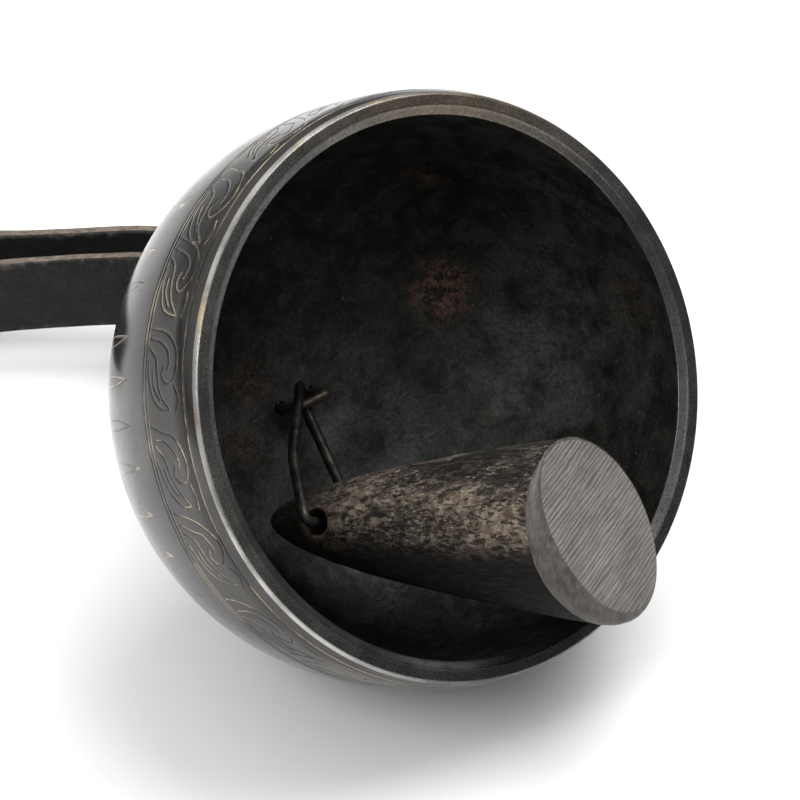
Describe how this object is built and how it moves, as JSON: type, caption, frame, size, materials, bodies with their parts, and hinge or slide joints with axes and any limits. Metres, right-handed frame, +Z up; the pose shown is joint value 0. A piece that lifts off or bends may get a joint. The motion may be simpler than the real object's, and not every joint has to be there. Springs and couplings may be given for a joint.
{
  "type": "singing bowl hand bell",
  "caption": "Cast bell-metal singing bowl hung as a hand bell, with a horn clapper on a wire loop and a leather strap on the crown.",
  "frame": {"origin": "middle of the footprint, on the floor", "axes": "+Z up, the strap runs towards -X, the mouth looks up and towards +X and -Y"},
  "size_m": [0.1762, 0.1344, 0.1003],
  "materials": {
    "bell_metal": "dark patinated bell metal, satin, engraved lines worn to brass",
    "wire": "dull dark iron wire",
    "loop_wire": "dull dark iron wire",
    "horn": "rough dark horn, sawn end face",
    "link_wire": "dull dark iron wire",
    "leather": "black leather with raw tan edges",
    "copper": "dull copper",
    "burr_copper": "dull copper"
  },
  "bodies": {
    "bell": {"bowl": "bell_metal", "crown_staple": "wire"},
    "loop": {"clapper_loop": "loop_wire"},
    "clapper": {"clapper": "horn"},
    "link": {"strap_link": "link_wire"},
    "strap": {"strap": "leather", "strap_rivet": "copper", "rivet_burr": "burr_copper"}
  },
  "joints": [
    {"name": "loop_swing", "type": "hinge", "parent": "bell", "child": "loop", "pos_m": [0.02117, 0.00094, 0.03254], "axis": [0.7694, 0.6388, 0], "range_deg": [-50, 0]},
    {"name": "clapper_swing", "type": "hinge", "parent": "loop", "child": "clapper", "pos_m": [0.02426, -0.02361, 0.02522], "axis": [-0.4564, -0.6734, 0.5816], "range_deg": [0, 25]},
    {"name": "link_swing", "type": "hinge", "parent": "bell", "child": "link", "pos_m": [0.01088, 0.01333, 0.02101], "axis": [0.7694, 0.6388, 0], "range_deg": [-80, 25]},
    {"name": "strap_swing", "type": "hinge", "parent": "link", "child": "strap", "pos_m": [0.00656, 0.01853, 0.02031], "axis": [-0.0668, 0.0804, 0.9945], "range_deg": [-60, 60]}
  ]
}
